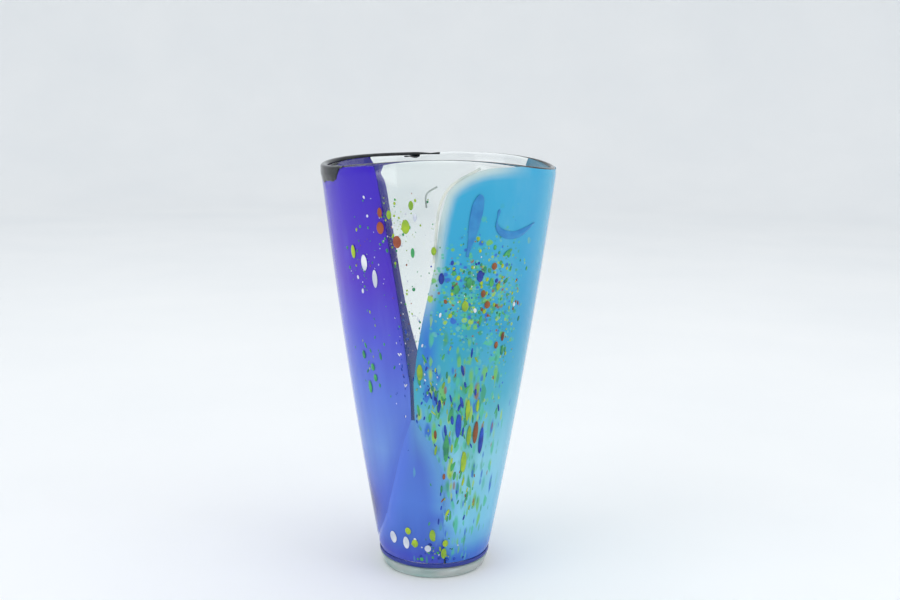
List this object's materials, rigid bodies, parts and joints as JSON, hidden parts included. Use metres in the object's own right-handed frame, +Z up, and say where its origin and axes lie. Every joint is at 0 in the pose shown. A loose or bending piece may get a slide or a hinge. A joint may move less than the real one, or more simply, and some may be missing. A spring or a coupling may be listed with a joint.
{
  "type": "vase",
  "caption": "Tall tapered vase of clear blown glass with cobalt and turquoise glass sheets, a smoky lip wrap, coloured shards, threads and chips, on a clear foot.",
  "frame": {"origin": "centre of the foot's underside, on the surface the vase stands on", "axes": "+Z up along the vase's axis, -Y towards the front, where the clear window and most of the chips are, +X towards the turquoise side"},
  "size_m": [0.192, 0.1927, 0.3486],
  "materials": {
    "clear_glass": "polished clear glass, faint green tint",
    "cobalt_glass": "polished transparent cobalt glass",
    "turquoise_glass": "polished turquoise opal glass",
    "mid_blue_glass": "polished mid-blue glass, cobalt run over turquoise",
    "smoky_glass": "polished dark smoky glass",
    "opal_cream_glass": "creamy opal glass thread",
    "silver_glass": "silver-grey glass thread",
    "blue_shard_glass": "thin translucent blue shard glass",
    "lime_chip_glass": "opaque yellow-green glass chip",
    "orange_chip_glass": "opaque orange-red glass chip",
    "white_chip_glass": "opaque white glass chip",
    "green_chip_glass": "opaque green glass chip",
    "brown_chip_glass": "opaque brown glass chip",
    "blue_chip_glass": "opaque dark blue glass chip"
  },
  "bodies": {
    "root": {"foot": "clear_glass", "base_sheet": "cobalt_glass", "vessel": "clear_glass", "cobalt_sheet": "cobalt_glass", "turquoise_sheet": "turquoise_glass", "tongue_sheet": "mid_blue_glass", "lip_wrap": "smoky_glass", "opal_edge_trail": "opal_cream_glass", "silver_thread": "silver_glass", "shard_tall": "blue_shard_glass", "shard_crescent": "blue_shard_glass", "shard_dash": "green_chip_glass", "chip_white_01": "white_chip_glass", "chip_white_02": "white_chip_glass", "chip_white_03": "white_chip_glass", "chip_white_04": "white_chip_glass", "chip_white_05": "white_chip_glass", "chip_white_06": "white_chip_glass", "chip_orange_01": "orange_chip_glass", "chip_orange_02": "orange_chip_glass", "chip_orange_03": "orange_chip_glass", "chip_lime_01": "lime_chip_glass", "chip_lime_02": "lime_chip_glass", "chip_lime_03": "lime_chip_glass", "chip_lime_04": "lime_chip_glass", "chip_lime_05": "lime_chip_glass", "chip_lime_06": "lime_chip_glass", "chip_lime_07": "lime_chip_glass", "chip_lime_08": "lime_chip_glass", "chip_lime_09": "lime_chip_glass", "chip_lime_10": "lime_chip_glass", "chip_lime_11": "lime_chip_glass", "chip_lime_12": "lime_chip_glass", "chip_lime_13": "lime_chip_glass", "chip_lime_14": "lime_chip_glass", "chip_lime_15": "lime_chip_glass", "chip_lime_16": "lime_chip_glass", "chip_green_01": "green_chip_glass", "chip_green_02": "green_chip_glass", "chip_green_03": "green_chip_glass", "chip_green_04": "green_chip_glass", "chip_green_05": "green_chip_glass", "chip_green_06": "green_chip_glass", "chip_green_07": "green_chip_glass", "chip_green_08": "green_chip_glass", "chip_green_09": "green_chip_glass", "chip_green_10": "green_chip_glass", "chip_brown_01": "brown_chip_glass", "chip_brown_02": "brown_chip_glass", "chip_brown_03": "brown_chip_glass", "chip_brown_04": "brown_chip_glass", "chip_brown_05": "brown_chip_glass", "chip_brown_06": "brown_chip_glass", "chip_blue_01": "blue_chip_glass", "chip_blue_02": "blue_chip_glass", "chip_blue_03": "blue_chip_glass", "chip_blue_04": "blue_chip_glass"}
  },
  "joints": []
}
